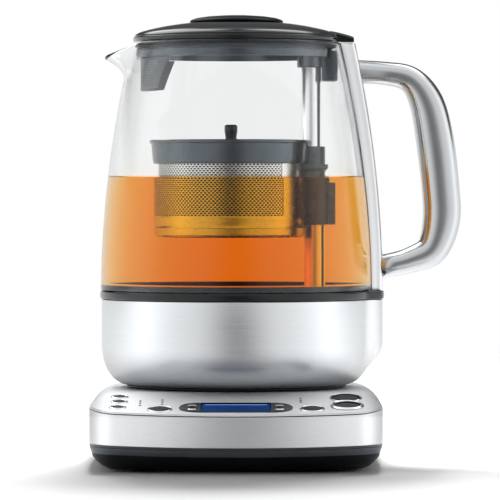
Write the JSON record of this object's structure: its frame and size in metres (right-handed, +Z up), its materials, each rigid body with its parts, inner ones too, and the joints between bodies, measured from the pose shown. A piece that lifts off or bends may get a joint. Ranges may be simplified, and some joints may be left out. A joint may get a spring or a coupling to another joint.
{
  "type": "automatic tea maker",
  "caption": "Electric tea maker: power base with sloping button panel and display, glass jug on a steel bowl with spout and handle, lid, and a tea basket lifted along a post.",
  "frame": {"origin": "centre of the bounding box's footprint, on the table under the rubber feet", "axes": "+Z up, +X from the spout towards the handle, -Y towards the control panel and the person using it"},
  "size_m": [0.2212, 0.204, 0.2666],
  "materials": {
    "brushed_steel": "brushed stainless steel",
    "polished_steel": "polished stainless steel",
    "mesh_steel": "perforated stainless sheet",
    "black_plastic": "black moulded plastic, satin",
    "slate_plastic": "dark slate grey moulded plastic",
    "glass": "clear borosilicate glass",
    "blue_display": "blue backlit display window",
    "chrome": "chromed plastic",
    "dark_rubber": "black rubber",
    "silicone": "grey silicone",
    "green_board": "glass-fibre circuit board",
    "zinc_steel": "plated steel",
    "light_guide": "pale red light guide"
  },
  "bodies": {
    "base": {"base_shell": "brushed_steel", "bottom_tray": "black_plastic", "foot_front_left": "dark_rubber", "foot_front_right": "dark_rubber", "foot_rear_left": "dark_rubber", "foot_rear_right": "dark_rubber", "inner_frame": "black_plastic", "base_screw_left": "zinc_steel", "base_screw_right": "zinc_steel", "lower_connector": "black_plastic", "cord_gland": "black_plastic", "circuit_board": "green_board", "display_module": "zinc_steel", "display_bezel": "slate_plastic", "display_window": "blue_display", "indicator_lights_left": "light_guide", "indicator_lights_right": "light_guide", "start_button_ring": "chrome"},
    "jug_socket": {"upper_connector": "black_plastic"},
    "jug": {"jug_bowl": "brushed_steel", "jug_gasket": "slate_plastic", "glass_jug": "glass", "jug_bottom_cover": "black_plastic", "heating_plate": "polished_steel", "heating_element": "zinc_steel", "temperature_sensor": "zinc_steel", "spine_cover": "brushed_steel", "spine_liner": "slate_plastic", "handle": "polished_steel", "handle_screw_upper": "zinc_steel", "handle_screw_lower": "zinc_steel", "lift_belt": "dark_rubber", "lift_motor": "zinc_steel", "basket_post": "polished_steel"},
    "drive_pulley": {"drive_pulley": "slate_plastic"},
    "idler_pulley": {"idler_pulley": "slate_plastic"},
    "drive_carriage": {"drive_carriage": "zinc_steel"},
    "lid": {"lid_cover": "black_plastic", "lid_knob": "slate_plastic", "lid_collar": "slate_plastic", "lid_seal": "silicone", "spout_filter": "slate_plastic"},
    "cradle": {"basket_cradle": "slate_plastic", "cradle_magnet": "zinc_steel"},
    "basket": {"basket_rim": "slate_plastic", "basket_mesh": "mesh_steel"},
    "basket_lid": {"basket_lid": "slate_plastic", "basket_lid_knob": "black_plastic"},
    "program_button_1": {"program_button_1": "chrome"},
    "program_button_2": {"program_button_2": "chrome"},
    "program_button_3": {"program_button_3": "chrome"},
    "tea_type_button": {"tea_type_button": "black_plastic"},
    "strength_button": {"strength_button": "black_plastic"},
    "hot_water_button": {"hot_water_button": "zinc_steel"},
    "start_button": {"start_button": "zinc_steel"},
    "temperature_up_button": {"temperature_up_button": "chrome"},
    "temperature_down_button": {"temperature_down_button": "chrome"},
    "time_up_button": {"time_up_button": "chrome"},
    "time_down_button": {"time_down_button": "chrome"}
  },
  "joints": [
    {"name": "jug_lift", "type": "slide", "parent": "base", "child": "jug_socket", "axis": [0, 0, 1], "range_m": [0, 0.15]},
    {"name": "jug_swivel", "type": "hinge", "parent": "jug_socket", "child": "jug", "pos_m": [-0.02411, 0.02, 0.0602], "axis": [0, 0, 1], "continuous": true},
    {"name": "lid_lift", "type": "slide", "parent": "jug", "child": "lid", "axis": [0, 0, 1], "range_m": [0, 0.1]},
    {"name": "basket_travel", "type": "slide", "parent": "jug", "child": "cradle", "axis": [0, 0, 1], "range_m": [-0.027, 0.036]},
    {"name": "carriage_travel", "type": "slide", "parent": "jug", "child": "drive_carriage", "axis": [-0.0923, 0, 0.9957], "range_m": [-0.0275, 0.0366]},
    {"name": "drive_pulley_spin", "type": "hinge", "parent": "jug", "child": "drive_pulley", "pos_m": [0.06039, 0.02, 0.084], "axis": [1, 0, 0], "range_deg": [-320, 425]},
    {"name": "idler_pulley_spin", "type": "hinge", "parent": "jug", "child": "idler_pulley", "pos_m": [0.0451, 0.02, 0.24], "axis": [0.9779, 0, 0.2091], "range_deg": [-320, 425]},
    {"name": "basket_removal", "type": "slide", "parent": "cradle", "child": "basket", "axis": [0, 0, 1], "range_m": [0, 0.03]},
    {"name": "basket_lid_lift", "type": "slide", "parent": "basket", "child": "basket_lid", "axis": [0, 0, 1], "range_m": [0, 0.03]},
    {"name": "program_1_press", "type": "slide", "parent": "base", "child": "program_button_1", "axis": [0, 0.1927, -0.9813], "range_m": [0, 0.001], "stiffness_N_per_m": 500, "springref_m": -0.0006},
    {"name": "program_2_press", "type": "slide", "parent": "base", "child": "program_button_2", "axis": [0, 0.1927, -0.9813], "range_m": [0, 0.001], "stiffness_N_per_m": 500, "springref_m": -0.0006},
    {"name": "program_3_press", "type": "slide", "parent": "base", "child": "program_button_3", "axis": [0, 0.1927, -0.9813], "range_m": [0, 0.001], "stiffness_N_per_m": 500, "springref_m": -0.0006},
    {"name": "tea_type_press", "type": "slide", "parent": "base", "child": "tea_type_button", "axis": [0, 0.1927, -0.9813], "range_m": [0, 0.001], "stiffness_N_per_m": 500, "springref_m": -0.0006},
    {"name": "strength_press", "type": "slide", "parent": "base", "child": "strength_button", "axis": [0, 0.1927, -0.9813], "range_m": [0, 0.001], "stiffness_N_per_m": 500, "springref_m": -0.0006},
    {"name": "hot_water_press", "type": "slide", "parent": "base", "child": "hot_water_button", "axis": [0, 0.1927, -0.9813], "range_m": [0, 0.001], "stiffness_N_per_m": 500, "springref_m": -0.0006},
    {"name": "start_press", "type": "slide", "parent": "base", "child": "start_button", "axis": [0, 0.1927, -0.9813], "range_m": [0, 0.001], "stiffness_N_per_m": 500, "springref_m": -0.0006},
    {"name": "temperature_up_press", "type": "slide", "parent": "base", "child": "temperature_up_button", "axis": [0, 0.1927, -0.9813], "range_m": [0, 0.001], "stiffness_N_per_m": 500, "springref_m": -0.0006},
    {"name": "temperature_down_press", "type": "slide", "parent": "base", "child": "temperature_down_button", "axis": [0, 0.1927, -0.9813], "range_m": [0, 0.001], "stiffness_N_per_m": 500, "springref_m": -0.0006},
    {"name": "time_up_press", "type": "slide", "parent": "base", "child": "time_up_button", "axis": [0, 0.1927, -0.9813], "range_m": [0, 0.001], "stiffness_N_per_m": 500, "springref_m": -0.0006},
    {"name": "time_down_press", "type": "slide", "parent": "base", "child": "time_down_button", "axis": [0, 0.1927, -0.9813], "range_m": [0, 0.001], "stiffness_N_per_m": 500, "springref_m": -0.0006}
  ],
  "couplings": [
    {"joint": "carriage_travel", "follows": "basket_travel", "ratio": 1.0043},
    {"joint": "drive_pulley_spin", "follows": "basket_travel", "rad_per_m": 200.86},
    {"joint": "idler_pulley_spin", "follows": "basket_travel", "rad_per_m": 200.86}
  ]
}
